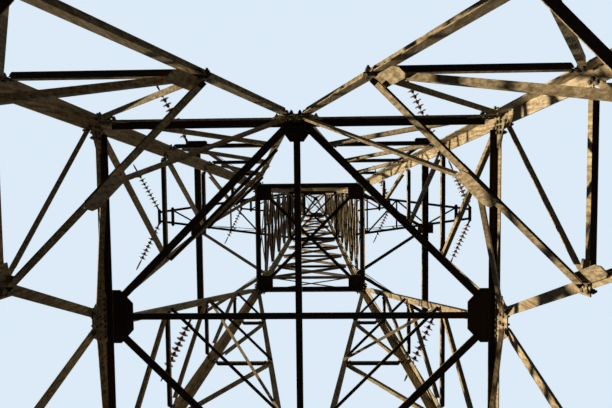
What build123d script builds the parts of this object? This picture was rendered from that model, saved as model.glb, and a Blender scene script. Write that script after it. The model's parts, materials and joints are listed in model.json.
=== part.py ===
from build123d import *

import math
import os

# A self-supporting lattice tower for a double-circuit overhead line, at a bend in its route.
# Millimetres, +Z up. The origin is on the ground, on the tower's axis. The crossarms run
# along X. The line comes in over the front (-Y) side, leaves over the back (+Y) side, and
# turns towards -X.

# Outline of the body: levels above the ground, and widths over the heels of the legs
base_width = 5336.0
waist_level = 13810.0
waist_width = 2232.0
cage_level = 27500.0
cage_width = 1020.0
peak_level = 32700.0
peak_width = 210.0
lug_height = 140.0
lug_hole_height = 90.0
lug_hole_radius = 12.0

# Levels of the bracing in the lower body
brace_foot_level = 600.0
long_tie_level = 3000.0
low_hip_level = 3670.0
hip_level = 4970.0
strut_level = 6350.0
first_rung_level = 7880.0
second_rung_level = 9380.0
third_rung_level = 11000.0
shoulder_level = 12780.0

# Steel angles: width of the flanges and their thickness
lower_leg_flange = 130.0
lower_leg_thick = 13.0
upper_leg_flange = 110.0
upper_leg_thick = 11.0
peak_leg_flange = 80.0
peak_leg_thick = 8.0
main_brace_width = 85.0
strut_width = 75.0
rung_width = 50.0
cage_brace_width = 60.0
peak_brace_width = 45.0
hip_brace_width = 55.0
corner_brace_width = 45.0
diamond_width = 75.0
diamond_offset = 100.0      # from the line between the mid points to the bars' outer edge
cross_width = 65.0
brace_thick = 8.0
gusset_thick = 10.0
vee_foot_x = 75.0           # from mid strut to the feet of the V above it
mid_plate_half = 135.0       # front and back
mid_plate_depth = 190.0
side_plate_half = 270.0      # left and right
side_plate_depth = 250.0
flange_gap = 12.0           # from a standing flange to the edge of a leg
stage_gap = 4.0             # from bracing to the stage below, or to the bars beside it

# Feet
foot_plate = 460.0
foot_plate_thick = 30.0
foot_rib_height = 220.0
foot_rib_reach = 120.0
foot_rib_thick = 14.0
anchor_spacing = 340.0
anchor_hole_radius = 16.0

# Crossarms: level and depth at the body, reach from the axis, and the tip
low_arm_depth = 1300.0
low_arm_reach = 2950.0
low_arm_rise = 700.0
low_arm_tip_half = 2280.0
low_arm_plate = 560.0
middle_arm_level = 19300.0
middle_arm_depth = 1600.0
middle_arm_reach = 5500.0
top_arm_level = 26100.0
top_arm_reach = 3620.0
arm_tip_half = 200.0
arm_chord = 80.0
arm_brace_width = 55.0
arm_end_bay = 480.0
yoke_width = 110.0
yoke_thick = 16.0
yoke_overhang = 75.0

# Insulator strings
disc_count = 9
disc_pitch = 146.0
disc_radius = 127.0
disc_sides = 8
cap_radius = 42.0
string_turn = 26.0          # plan angle between a string and the Y axis
string_dip = 7.0            # slope of a string below the level
link_length = 170.0
link_width = 60.0
link_thick = 12.0
clamp_length = 400.0
clamp_radius = 26.0

# Number of panels in each stage
lower_cage_panel_count = 3
upper_cage_panel_count = 3
peak_panel_count = 3

STAGES = (
    (0.0, base_width),
    (waist_level, waist_width),
    (cage_level, cage_width),
    (peak_level, peak_width),
)


def half_width(level):
    """Half the width over the leg heels at a level: the body tapers in straight stages."""
    for (low, low_width), (high, high_width) in zip(STAGES, STAGES[1:]):
        if level <= high:
            break
    share = (level - low) / (high - low)
    return (low_width + (high_width - low_width) * share) / 2


def levels_between(low, high, count):
    """The tops of count equal panels between two levels."""
    return [low + (high - low) * number / count for number in range(1, count + 1)]


def joined(pieces):
    """One shape from pieces that overlap or touch."""
    return Part() + pieces


def apart(pieces):
    """One shape that holds pieces which don't touch."""
    return Compound([solid for piece in pieces for solid in piece.solids()])


# The front side of a stage, drawn flat: x across, y up the slope, z outwards.
class Side:
    def __init__(self, low, high, leg_flange, leg_thick):
        run = half_width(low) - half_width(high)
        rise = high - low
        self.low = low
        self.stretch = math.hypot(run, rise) / rise
        self.leg_flange = leg_flange
        self.bar_layer = -leg_thick / self.stretch - brace_thick
        self.gusset_layer = self.bar_layer - gusset_thick
        self.place = Plane(
            origin=(0, -half_width(low), low), x_dir=(1, 0, 0), z_dir=(0, -rise, run)
        ).location

    def point(self, x, level):
        """A place in the drawing, from its x and its level above the ground."""
        return Vector(x, (level - self.low) * self.stretch)

    def gauge(self, level):
        """The x of the bolt line in the middle of the leg's flange."""
        return half_width(level) - self.leg_flange / 2

    def room(self, place, width):
        """How far a standing flange at a place is from the edge of the leg."""
        level = self.low + place.Y / self.stretch
        edge = half_width(level) - self.leg_flange - flange_gap - width / 2
        return edge - abs(place.X)

    def clear_of_leg(self, start, end, width):
        """The first place from start to end where a standing flange clears the leg."""
        if self.room(start, width) >= 0:
            return start
        if start.X * end.X < 0:
            end = start + (end - start) * (start.X / (start.X - end.X))
        lack = -self.room(start, width)
        return start + (end - start) * (lack / (lack + self.room(end, width)))

    def angle(self, start, end, width, edge):
        """A steel angle: one flange in the bar layer, one standing outwards on its edge."""
        first = self.clear_of_leg(start, end, width)
        last = self.clear_of_leg(end, start, width)
        offset = edge * (width - brace_thick) / 2
        return [
            flat_bar(start, end, width, self.bar_layer, brace_thick),
            flat_bar(first, last, brace_thick, self.bar_layer, width, offset),
        ]

    def strut(self, start, end, width):
        """A steel angle with its standing flange on the lower edge."""
        return self.angle(start, end, width, -1 if end.X > start.X else 1)

    def turned_strut(self, start, end, width):
        """A strut turned over: its standing flange is inwards, and starts clear of the node."""
        clear = start + (end - start).normalized() * 3 * width
        last = self.clear_of_leg(end, start, width)
        offset = (-1 if end.X > start.X else 1) * (width - brace_thick) / 2
        inwards = self.bar_layer + brace_thick - width
        return [
            flat_bar(start, end, width, self.bar_layer, brace_thick),
            flat_bar(clear, last, brace_thick, inwards, width, offset),
        ]

    def flat(self, start, end, width):
        """A flat bar in the bar layer."""
        return flat_bar(start, end, width, self.bar_layer, brace_thick)

    def gusset(self, *corners):
        """A gusset plate on the inner faces of the bars."""
        return Pos(0, 0, self.gusset_layer) * extrude(
            make_face(Polyline(*corners, close=True)), amount=gusset_thick, dir=(0, 0, 1)
        )

    def cross_panel(self, low, high, width):
        """Two crossing diagonals between the bolt lines of the legs."""
        pieces = []
        for way in (-1, 1):
            start = self.point(way * self.gauge(low), low)
            end = self.point(-way * self.gauge(high), high)
            pieces.append(self.flat(start, end, width))
        return pieces

    def rung(self, level, width):
        """A level bar from leg to leg, centred on a level."""
        end_x = self.gauge(level)
        return self.flat(self.point(-end_x, level), self.point(end_x, level), width)

    def shelf(self, level, width):
        """The level flange of a strut, on its inner side, which plan bracing lies on."""
        depth = -self.bar_layer * self.stretch
        reach = half_width(level) - self.leg_flange - flange_gap
        outer = -half_width(level) + depth - brace_thick / 2
        return Pos(0, outer + width / 2, level - brace_thick / 2) * Box(
            2 * reach, width, brace_thick
        )

    def inner_edge(self, level, height):
        """Distance from the axis that plan bracing of a height keeps within, above a level."""
        return half_width(level + height) + self.gusset_layer * self.stretch - stage_gap


def flat_bar(start, end, width, bottom, thick, offset=0):
    """A bar in the drawing from start to end, moved sideways by an offset."""
    run = end - start
    middle = (start + end) / 2
    turn = math.degrees(math.atan2(run.Y, run.X))
    box = Pos(0, offset, bottom + thick / 2) * Box(run.length, width, thick)
    return Pos(middle.X, middle.Y) * Rot(0, 0, turn) * box


lower_side = Side(0, waist_level, lower_leg_flange, lower_leg_thick)
cage_side = Side(waist_level, cage_level, upper_leg_flange, upper_leg_thick)
peak_side = Side(cage_level, peak_level, peak_leg_flange, peak_leg_thick)


# Legs and feet
def leg_length(low, high, flange, thick):
    """The front left leg over one stage: an angle whose flanges lie in the two sides."""
    heel = -half_width(low)
    top = -half_width(high)
    profile = Polyline(
        (heel, heel, low),
        (heel + flange, heel, low),
        (heel + flange, heel + thick, low),
        (heel + thick, heel + thick, low),
        (heel + thick, heel + flange, low),
        (heel, heel + flange, low),
        close=True,
    )
    climb = Vector(top - heel, top - heel, high - low)
    return extrude(make_face(profile), amount=climb.length, dir=climb)


def foot():
    """The front left foot: a base plate with anchor holes, and ribs against the leg."""
    centre = -half_width(0) + lower_leg_flange / 3
    plate = Pos(centre, centre, foot_plate_thick / 2) * Box(
        foot_plate, foot_plate, foot_plate_thick
    )
    for x_way in (-1, 1):
        for y_way in (-1, 1):
            place = Pos(
                centre + x_way * anchor_spacing / 2,
                centre + y_way * anchor_spacing / 2,
                foot_plate_thick / 2,
            )
            plate -= place * Cylinder(anchor_hole_radius, 2 * foot_plate_thick)
    top = foot_plate_thick + foot_rib_height
    rib_x = -half_width(0) + lower_leg_flange / 2
    rib = extrude(
        make_face(
            Polyline(
                (rib_x, -half_width(foot_plate_thick), foot_plate_thick),
                (rib_x, -half_width(foot_plate_thick) - foot_rib_reach, foot_plate_thick),
                (rib_x, -half_width(top), top),
                close=True,
            )
        ),
        amount=foot_rib_thick,
        dir=(1, 0, 0),
    )
    other_rib = rib.mirror(Plane(origin=(0, 0, 0), z_dir=(1, -1, 0)))
    return joined([plate, rib, other_rib])


# Sides of the lower body
def main_brace_x(level):
    """The x of the main diagonal below the strut, which runs from mid strut to the foot."""
    foot_x = lower_side.gauge(brace_foot_level)
    return foot_x * (strut_level - level) / (strut_level - brace_foot_level)


def base_half(way):
    """Half of the inverted V below the strut, with its struts to the leg."""
    side = lower_side
    top_level = strut_level - 2 * strut_width
    start = side.point(way * main_brace_x(top_level), top_level)
    foot_x = way * side.gauge(brace_foot_level)
    pieces = side.angle(start, side.point(foot_x, brace_foot_level), main_brace_width, way)
    hip = side.point(way * main_brace_x(hip_level), hip_level)
    low_hip = side.point(way * main_brace_x(low_hip_level), low_hip_level)
    leg_hip = side.point(way * side.gauge(hip_level), hip_level)
    leg_low_hip = side.point(way * side.gauge(low_hip_level), low_hip_level)
    leg_top_level = strut_level - 2 * strut_width
    leg_top = side.point(way * side.gauge(leg_top_level), leg_top_level)
    for start, end in ((hip, leg_hip), (low_hip, leg_hip), (low_hip, leg_low_hip)):
        pieces += side.strut(start, end, rung_width)
    pieces += side.turned_strut(hip, leg_top, rung_width)
    for node, level in ((hip, hip_level), (low_hip, low_hip_level)):
        inner = -way * main_brace_width
        outer = way * 2 * main_brace_width
        pieces.append(
            side.gusset(
                (node.X + inner, node.Y - rung_width),
                (node.X + outer, node.Y - rung_width),
                (node.X + outer, node.Y + rung_width),
                (node.X + inner, node.Y + 2 * rung_width),
            )
        )
    return joined(pieces)


def vee_x(level):
    """The x of the V diagonal above the strut, which runs from mid strut to the shoulder."""
    share = (level - strut_level) / (shoulder_level - strut_level)
    return vee_foot_x + (lower_side.gauge(shoulder_level) - vee_foot_x) * share


def waist_brace():
    """The front side from the strut to the waist: a V with rungs, and a crossed panel."""
    side = lower_side
    strut_line = strut_level - strut_width / 2
    shoulder_line = shoulder_level - strut_width / 2
    waist_line = waist_level - strut_width / 2
    pieces = [side.place * side.gusset(*corners) for corners in waist_gussets(side)]
    bars = []
    for line in (strut_line, shoulder_line, waist_line):
        bars.append(side.rung(line, strut_width))
    rungs = (strut_level, first_rung_level, second_rung_level, third_rung_level)
    for way in (-1, 1):
        start = side.point(way * vee_x(strut_level + strut_width), strut_level + strut_width)
        end_level = shoulder_level - strut_width
        end = side.point(way * side.gauge(end_level), end_level)
        bars += side.angle(start, end, main_brace_width, way)
        for below, level in zip(rungs, rungs[1:]):
            node = side.point(way * vee_x(level), level)
            leg_node = side.point(way * side.gauge(level), level)
            bars += side.strut(node, leg_node, rung_width)
            bars += side.strut(side.point(way * side.gauge(below), below), node, rung_width)
    bars += side.cross_panel(shoulder_line, waist_line, cage_brace_width)
    pieces += [side.place * bar for bar in bars]
    pieces.append(side.shelf(strut_level, strut_width))
    pieces.append(side.shelf(shoulder_level, strut_width))
    return joined(pieces)


def waist_gussets(side):
    """The plates at mid strut, and those in the corners under the shoulder and the strut."""
    middle = side.point(0, strut_level)
    width = 3 * main_brace_width
    outlines = [
        (
            (-width, middle.Y - strut_width),
            (-width / 2, middle.Y - width),
            (width / 2, middle.Y - width),
            (width, middle.Y - strut_width),
            (width, middle.Y),
            (width * 0.8, middle.Y + width),
            (-width * 0.8, middle.Y + width),
            (-width, middle.Y),
        )
    ]
    for level in (strut_level, shoulder_level):
        for way in (-1, 1):
            corner = side.point(way * side.gauge(level), level)
            inner = corner.X - way * width
            outlines.append(
                (
                    (corner.X, corner.Y - 0.7 * width),
                    (inner, corner.Y - strut_width),
                    (inner, corner.Y),
                    (corner.X, corner.Y),
                )
            )
    return outlines


# Sides of the cage and the peak
arm_levels = (waist_level, middle_arm_level, top_arm_level)
low_arm_top_level = waist_level + low_arm_depth
middle_arm_top_level = middle_arm_level + middle_arm_depth
cage_levels = (
    [waist_level, low_arm_top_level]
    + levels_between(low_arm_top_level, middle_arm_level, lower_cage_panel_count)
    + [middle_arm_top_level]
    + levels_between(middle_arm_top_level, top_arm_level, upper_cage_panel_count)
    + [cage_level]
)


def cage_brace():
    """The front side from the waist to the foot of the peak: crossed panels and rungs."""
    side = cage_side
    lines = [level - cage_brace_width / 2 for level in cage_levels]
    lines[0] = waist_level + cage_brace_width / 2 + stage_gap
    bars = [side.rung(line, cage_brace_width) for line in lines]
    for low, high in zip(lines, lines[1:]):
        bars += side.cross_panel(low, high, cage_brace_width)
    pieces = [side.place * bar for bar in bars]
    pieces += [side.shelf(level, cage_brace_width) for level in arm_levels[1:]]
    return joined(pieces)


def peak():
    """The earth wire's peak: four legs that draw together, with single diagonals."""
    side = peak_side
    leg = leg_length(cage_level, peak_level, peak_leg_flange, peak_leg_thick)
    levels = [cage_level] + levels_between(cage_level, peak_level, peak_panel_count)
    bars = []
    for number, (low, high) in enumerate(zip(levels, levels[1:])):
        way = 1 if number % 2 else -1
        start = side.point(-way * side.gauge(low), low + peak_brace_width)
        end = side.point(way * side.gauge(high), high - peak_brace_width)
        bars.append(side.flat(start, end, peak_brace_width))
        if high < peak_level:
            bars.append(side.rung(high, peak_brace_width))
    pieces = []
    for quarter in range(4):
        turn = Rot(0, 0, 90 * quarter)
        pieces.append(turn * leg)
        pieces += [turn * side.place * bar for bar in bars]
    cap = Pos(0, 0, peak_level + gusset_thick / 2) * Box(
        peak_width + 2 * gusset_thick, peak_width + 2 * gusset_thick, gusset_thick
    )
    lug_base = peak_level + gusset_thick
    lug = Pos(0, 0, lug_base + lug_height / 2) * Box(gusset_thick, peak_width, lug_height)
    lug -= Pos(0, 0, lug_base + lug_hole_height) * Rot(0, 90, 0) * Cylinder(
        lug_hole_radius, 3 * gusset_thick
    )
    return joined(pieces + [cap, lug])


# Bars that don't lie in a side
def square_to(direction, *others):
    """The part of a direction that is square to the others, one unit long."""
    for other in others:
        direction = direction - other * direction.dot(other)
    return direction.normalized()


def angle_beam(start, end, first, second, flange, thick=brace_thick):
    """An angle whose heel runs from start to end, with its flanges towards two directions."""
    start, end = Vector(*start), Vector(*end)
    along = (end - start).normalized()
    across = square_to(Vector(*first), along)
    aside = square_to(Vector(*second), along, across)
    outline = [(0, 0), (flange, 0), (flange, thick), (thick, thick), (thick, flange), (0, flange)]
    corners = [start + across * a + aside * b for a, b in outline]
    face = make_face(Polyline(*corners, close=True))
    return extrude(face, amount=(end - start).length, dir=along)


def strap(start, end, normal, width, thick=brace_thick):
    """A flat bar on the line from start to end, with its wide face square to a direction."""
    start, end = Vector(*start), Vector(*end)
    along = (end - start).normalized()
    facing = square_to(Vector(*normal), along)
    plane = Plane(origin=(start + end) / 2, x_dir=along, z_dir=facing)
    return plane * Box((end - start).length, width, thick)


def inside_of_side(side, depth):
    """A block that fills the tower outside a depth behind the front side's leg faces."""
    size = 2 * peak_level
    return side.place * Pos(0, 0, size / 2 - depth) * Box(size, size, size)


# Corner bracing of the lower body
def corner_brace():
    """The bracing across the front left corner, from the front side to the left side."""
    side = lower_side
    seat = -side.gusset_layer
    left = Rot(0, 0, -90)

    def on_front(x, level):
        return (x, -half_width(level) + seat * side.stretch, level)

    def on_left(y, level):
        return (-half_width(level) + seat * side.stretch, y, level)

    hip_x = main_brace_x(hip_level)
    low_hip_x = main_brace_x(low_hip_level)
    front_hip, left_hip = on_front(-hip_x, hip_level), on_left(-hip_x, hip_level)
    front_low, left_low = on_front(-low_hip_x, low_hip_level), on_left(-low_hip_x, low_hip_level)
    long_tie_x = main_brace_x(long_tie_level)
    hip_middle = (Vector(*front_hip) + Vector(*left_hip)) / 2
    strut_seat_level = strut_level - 2 * strut_width - hip_brace_width
    front_middle = on_front(-main_brace_width, strut_seat_level)
    left_middle = on_left(-main_brace_width, strut_seat_level)
    up = (0, 0, 1)
    inward = (1, 1, 0)
    outward = (-1, -1, 0)
    pieces = [
        angle_beam(front_hip, left_hip, up, inward, hip_brace_width),
        angle_beam(front_low, left_low, up, inward, hip_brace_width),
        angle_beam(hip_middle, front_middle, (1, 0, 0), (0, 1, 0), corner_brace_width),
        angle_beam(hip_middle, left_middle, (0, 1, 0), (1, 0, 0), corner_brace_width),
        angle_beam(
            front_hip, on_left(-long_tie_x, long_tie_level), up, outward, corner_brace_width
        ),
    ]
    outline = Polyline(
        (0, -3 * hip_brace_width),
        (hip_brace_width, -3 * hip_brace_width),
        (2 * hip_brace_width, -hip_brace_width),
        (2 * hip_brace_width, hip_brace_width),
        (hip_brace_width, 3 * hip_brace_width),
        (0, 3 * hip_brace_width),
        close=True,
    )
    node_plate = extrude(make_face(outline), amount=gusset_thick, dir=(0, 0, -1))
    pieces.append(Pos(*hip_middle) * Rot(0, 0, 45) * node_plate)
    end_plate = Pos(0, 0, side.gusset_layer - gusset_thick / 2) * Box(
        2 * hip_brace_width, hip_brace_width, gusset_thick
    )
    for x, level in ((-hip_x, hip_level), (-low_hip_x, low_hip_level)):
        place = side.point(x, level)
        pieces.append(side.place * Pos(place.X, place.Y) * end_plate)
        pieces.append(left * side.place * Pos(-place.X, place.Y) * end_plate)
    place = side.point(long_tie_x, long_tie_level)
    pieces.append(left * side.place * Pos(place.X, place.Y) * end_plate)
    shape = joined(pieces)
    shape -= inside_of_side(side, seat)
    shape -= left * inside_of_side(side, seat)
    return shape


# Plan bracing
def strip(start, end, toward, width):
    """A level strip beside the line from start to end, on the side that a direction points to."""
    start, end = Vector(*start), Vector(*end)
    aside = Vector(*toward).normalized() * width
    return make_face(Polyline(start, end, end + aside, start + aside, close=True))


def mid_plate(edge, half, depth):
    """A level plate at the front mid point, which the diamond's bars are bolted to."""
    return make_face(
        Polyline(
            (-half, -edge),
            (half, -edge),
            (half, -edge + depth / 2),
            (half / 2, -edge + depth),
            (-half / 2, -edge + depth),
            (-half, -edge + depth / 2),
            close=True,
        )
    )


def strut_diaphragm():
    """The level bracing at the strut: a diamond between the mid points, and a cross."""
    edge = lower_side.inner_edge(strut_level, diamond_width)
    half = cross_width / 2
    limit = Rectangle(2 * edge, 2 * edge)
    out = diamond_offset / math.sqrt(2)
    heel = ((half - out, -edge - out), (-edge - out, half - out), (1, 1))
    plates = (
        (mid_plate_half, mid_plate_depth),
        (side_plate_half, side_plate_depth),
    )
    level_flanges = []
    diamond_upstands = []
    cross_upstands = []
    for quarter in range(4):
        turn = Rot(0, 0, 90 * quarter)
        level_flanges.append(turn * strip(*heel, diamond_width))
        diamond_upstands.append(turn * strip(*heel, brace_thick))
        level_flanges.append(turn * mid_plate(edge, *plates[quarter % 2]))
    for heel in (((half, -edge), (half, edge), (-1, 0)), ((-edge, half), (edge, half), (0, -1))):
        level_flanges.append(strip(*heel, cross_width))
        cross_upstands.append(strip(*heel, brace_thick))
    layers = (
        (level_flanges, brace_thick),
        (diamond_upstands, diamond_width),
        (cross_upstands, cross_width),
    )
    pieces = []
    for faces, height in layers:
        outline = (Sketch() + faces) & limit
        pieces.append(extrude(outline, amount=height, dir=(0, 0, 1)))
    return Pos(0, 0, strut_level) * joined(pieces)


def cross_diaphragm(side, level, width):
    """A square frame of flats on the shelves of the four sides, with crossed flats inside."""
    edge = side.inner_edge(level, brace_thick)
    centre = level + brace_thick / 2
    corner = edge - width / 2
    flats = []
    for way in (-1, 1):
        start, end = (-corner, -way * corner, centre), (corner, way * corner, centre)
        flats.append(strap(start, end, (0, 0, 1), width))
    for quarter in range(4):
        rail = Pos(0, -corner, centre) * Box(2 * edge, width, brace_thick)
        flats.append(Rot(0, 0, 90 * quarter) * rail)
    return joined(flats)


# Crossarms on the left; those on the right are their mirror images
def left_block(side):
    """A block that fills the tower inside the outer faces of the left side's legs."""
    size = 2 * peak_level
    return Rot(0, 0, -90) * side.place * Pos(0, 0, -size / 2) * Box(size, size, size)


def yoke(centre, length, along_x):
    """A level plate with clipped corners below the chords, which the strings are hung from."""
    half, side_half, clip = length / 2, yoke_width / 2, yoke_width / 3
    outline = Polyline(
        (half, side_half - clip),
        (half - clip, side_half),
        (clip - half, side_half),
        (-half, side_half - clip),
        (-half, clip - side_half),
        (clip - half, -side_half),
        (half - clip, -side_half),
        (half, clip - side_half),
        close=True,
    )
    plate = extrude(make_face(outline), amount=yoke_thick, dir=(0, 0, 1))
    turn = Rot(0, 0, 0 if along_x else 90)
    return Pos(centre.X, centre.Y, centre.Z - yoke_thick) * turn * plate


# One side of a crossarm: the plane through the heels of its lower and upper chord.
class ArmSide:
    def __init__(self, way, level, top_level, tip):
        self.way = way
        self.low_root = Vector(-half_width(level), way * cage_side.gauge(level), level)
        self.high_root = Vector(-half_width(top_level), way * cage_side.gauge(top_level), top_level)
        self.low_tip = Vector(*tip)
        self.run = (self.low_tip - self.low_root).normalized()
        self.normal = self.run.cross(self.high_root - self.low_root).normalized()
        upward = self.normal.cross(self.run)
        self.upward = upward if upward.Z > 0 else -upward
        self.high_tip = self.low_tip + self.upward * arm_chord
        self.high_run = (self.high_tip - self.high_root).normalized()
        downward = self.normal.cross(self.high_run)
        self.downward = downward if downward.Z < 0 else -downward
        floor_normal = Vector(0, 1, 0).cross(self.run).normalized()
        self.floor_normal = floor_normal if floor_normal.Z > 0 else -floor_normal
        inward = self.floor_normal.cross(self.run)
        self.inward = inward if inward.Y * way < 0 else -inward

    def low(self, share):
        return self.low_root + (self.low_tip - self.low_root) * share

    def high(self, share):
        return self.high_root + (self.high_tip - self.high_root) * share

    def floor(self, share):
        """The middle of the lower chord's level flange."""
        return self.low(share) + self.inward * (arm_chord / 2)

    def on_floor(self, share):
        """The line of a bar that lies on the lower chord's level flange."""
        return self.floor(share) + self.floor_normal * brace_thick

    def chords(self):
        """The two flanges of the lower chord, and the flange of the upper one in this side."""
        half = arm_chord / 2
        overlap = arm_chord
        low_start = self.low_root - self.run * overlap
        high_start = self.high_root - self.high_run * overlap
        up, down, inward = self.upward * half, self.downward * half, self.inward * half
        return [
            strap(low_start + up, self.low_tip + up, self.normal, arm_chord),
            strap(high_start + down, self.high_tip + down, self.normal, arm_chord),
            strap(low_start + inward, self.low_tip + inward, self.floor_normal, arm_chord),
        ]

    def web(self, shares):
        """Posts between the chords at the shares of their length, with diagonals."""
        pieces = []
        half = arm_chord / 2
        for last, share in zip(shares, shares[1:]):
            foot_end = self.low(share) + self.upward * half
            post_end = self.high(share) + self.downward * half
            brace_end = self.high(last) + self.downward * half
            pieces.append(strap(foot_end, post_end, self.normal, arm_brace_width))
            pieces.append(strap(foot_end, brace_end, self.normal, arm_brace_width))
        return pieces

    def root_plates(self, level, top_level):
        """The plates that the chords are bolted to the leg with."""
        height = 2 * arm_chord
        pieces = []
        for centre_level in (level + height / 2 + stage_gap, top_level - height / 2 - stage_gap):
            place = cage_side.point(-self.way * cage_side.gauge(centre_level), centre_level)
            plate = Pos(place.X, place.Y, gusset_thick / 2) * Box(
                upper_leg_flange - flange_gap, height, gusset_thick
            )
            pieces.append(Rot(0, 0, -90) * cage_side.place * plate)
        return pieces


def long_arm(level, top_level, reach, bays):
    """A crossarm that narrows to its tip: level lower chords, sloping upper ones, bracing."""
    arm_sides = [
        ArmSide(way, level, top_level - stage_gap, (-reach, way * arm_tip_half, level))
        for way in (-1, 1)
    ]
    root = half_width(level)
    inner_share = (reach - arm_end_bay - root) / (reach - root)
    shares = [inner_share * number / bays for number in range(bays + 1)]
    tip_block = Pos(-reach - peak_level, 0, 0) * Box(2 * peak_level, 2 * reach, 2 * peak_level)
    trim = [left_block(cage_side), tip_block]
    pieces = []
    for arm_side in arm_sides:
        bars = arm_side.chords() + arm_side.web(shares) + arm_side.root_plates(level, top_level)
        pieces.append(joined(bars) - trim)
    front, back = arm_sides
    up = Vector(0, 0, 1)
    floor = []
    for number, share in enumerate(shares[1:], start=1):
        floor.append(strap(front.on_floor(share), back.on_floor(share), up, arm_brace_width))
        start, end = (front, back) if number % 2 else (back, front)
        last = start.on_floor(shares[number - 1])
        floor.append(strap(last, end.on_floor(share), up, arm_brace_width))
    pieces.append(joined(floor) - trim[0])
    tip = Vector(-reach, 0, level - brace_thick / 2)
    end_plate = Pos(-reach - gusset_thick / 2, 0, level + arm_chord / 2 - brace_thick / 2) * Box(
        gusset_thick, 2 * arm_tip_half, arm_chord
    )
    pieces.append(joined([yoke(tip, 2 * (arm_tip_half + yoke_overhang), False), end_plate]))
    inner = front.low(inner_share)
    inner_yoke = Vector(inner.X, 0, inner.Z - brace_thick / 2)
    pieces.append(yoke(inner_yoke, 2 * (abs(inner.Y) + yoke_overhang), False))
    return apart(pieces)


def low_arm():
    """The lowest crossarm, which widens to a long tip beam along the line."""
    level, top_level = waist_level, low_arm_top_level
    tip_level = level + low_arm_rise
    low_level = level + flange_gap
    arm_sides = [
        ArmSide(
            way,
            low_level,
            top_level - stage_gap,
            (-low_arm_reach, way * low_arm_tip_half, tip_level),
        )
        for way in (-1, 1)
    ]
    middle = Vector(-low_arm_reach, 0, tip_level)
    beam = [
        Pos(-low_arm_reach, 0, tip_level - brace_thick / 2 - gusset_thick / 2)
        * Box(5 * arm_chord, 3 * arm_chord, gusset_thick)
    ]
    for arm_side in arm_sides:
        beam.append(
            strap(arm_side.on_floor(0), middle, arm_side.floor_normal, arm_chord)
        )
        tip = arm_side.low_tip - Vector(0, 0, brace_thick / 2)
        beam.append(yoke(tip, low_arm_plate, True))
    beam_half = low_arm_tip_half + yoke_width / 2
    for way in (-1, 1):
        heel_x = -low_arm_reach + way * arm_chord
        beam.append(
            angle_beam(
                (heel_x, -beam_half, tip_level - brace_thick / 2),
                (heel_x, beam_half, tip_level - brace_thick / 2),
                (-way, 0, 0),
                (0, 0, 1),
                arm_chord,
            )
        )
    beam_shape = joined(beam)
    trim = [left_block(cage_side), below(level)]
    pieces = [largest(beam_shape - trim)]
    for arm_side in arm_sides:
        bars = arm_side.chords() + arm_side.web([0, 0.5]) + arm_side.root_plates(level, top_level)
        pieces.append(largest(joined(bars) - trim - beam_shape))
    return apart(pieces)


def largest(shape):
    """The largest solid of a shape, without the offcuts of a trim."""
    return max(shape.solids(), key=lambda solid: solid.volume)


def below(level):
    """A block that fills everything under a level."""
    size = 2 * peak_level
    return Pos(0, 0, level - size / 2) * Box(size, size, size)


# Insulator strings
def across_chain(x, radius):
    """The corners of a polygon square to the chain of discs, at a distance along it."""
    corners = []
    for number in range(disc_sides):
        angle = 2 * math.pi * (number + 0.5) / disc_sides
        corners.append(Vector(x, radius * math.cos(angle), radius * math.sin(angle)))
    return corners


def flat_sided(x, radius, far_x, far_radius):
    """A length of the chain that tapers from one radius to another, with flat sides."""
    near, far = across_chain(x, radius), across_chain(far_x, far_radius)
    outlines = [near, far]
    for number in range(disc_sides):
        outlines.append([near[number - 1], near[number], far[number], far[number - 1]])
    return Solid(Shell([make_face(Polyline(*corners, close=True)) for corners in outlines]))


def string():
    """A tension string, drawn along +X from its joint: link, cap-and-pin discs, clamp."""
    link = Pos(link_length / 2 - link_width / 2, 0, -link_thick / 2) * Box(
        link_length, link_width, link_thick
    )
    chain = []
    for number in range(disc_count):
        cap = link_width / 2 + number * disc_pitch
        chain.append(flat_sided(cap, cap_radius, cap + disc_pitch, disc_radius))
    end = link_width / 2 + disc_count * disc_pitch
    chain.append(flat_sided(end, clamp_radius, end + clamp_length, clamp_radius))
    hang = Pos(link_length - link_width, 0, -link_thick / 2) * Rot(0, string_dip, 0)
    return joined([link] + [hang * piece for piece in chain])


def string_pair(x, y, level):
    """The front and the back string of one crossarm's tip."""
    one = string()
    joint_level = level - brace_thick / 2 - yoke_thick
    front = Pos(x, -y, joint_level) * Rot(0, 0, -90 - string_turn) * one
    back = Pos(x, y, joint_level) * Rot(0, 0, 90 + string_turn) * one
    return apart([front, back])


# Output
nodes = {}
corners = {"front_left": 0, "front_right": 90, "back_right": 180, "back_left": 270}
sides = {"front": 0, "right": 90, "back": 180, "left": 270}

foot_shape = foot()
lower_leg = leg_length(foot_plate_thick, waist_level, lower_leg_flange, lower_leg_thick)
upper_leg = leg_length(waist_level, cage_level, upper_leg_flange, upper_leg_thick)
for name, turn in corners.items():
    nodes["foot_" + name] = Rot(0, 0, turn) * foot_shape
    nodes["lower_leg_" + name] = Rot(0, 0, turn) * lower_leg
    nodes["upper_leg_" + name] = Rot(0, 0, turn) * upper_leg

base_halves = [lower_side.place * base_half(way) for way in (-1, 1)]
waist_shape = waist_brace()
cage_shape = cage_brace()
for name, turn in sides.items():
    nodes["base_brace_" + name] = apart([Rot(0, 0, turn) * half for half in base_halves])
    nodes["waist_brace_" + name] = Rot(0, 0, turn) * waist_shape
    nodes["cage_brace_" + name] = Rot(0, 0, turn) * cage_shape

corner = corner_brace()
front_corners = [corner, corner.mirror(Plane.YZ)]
back_corners = [piece.mirror(Plane.XZ) for piece in front_corners]
nodes["corner_brace"] = apart(front_corners + back_corners)
nodes["strut_diaphragm"] = strut_diaphragm()
nodes["shoulder_diaphragm"] = cross_diaphragm(lower_side, shoulder_level, strut_width)
nodes["cage_diaphragm"] = apart(
    [cross_diaphragm(cage_side, level, cage_brace_width) for level in arm_levels[1:]]
)
nodes["peak"] = peak()

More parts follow.
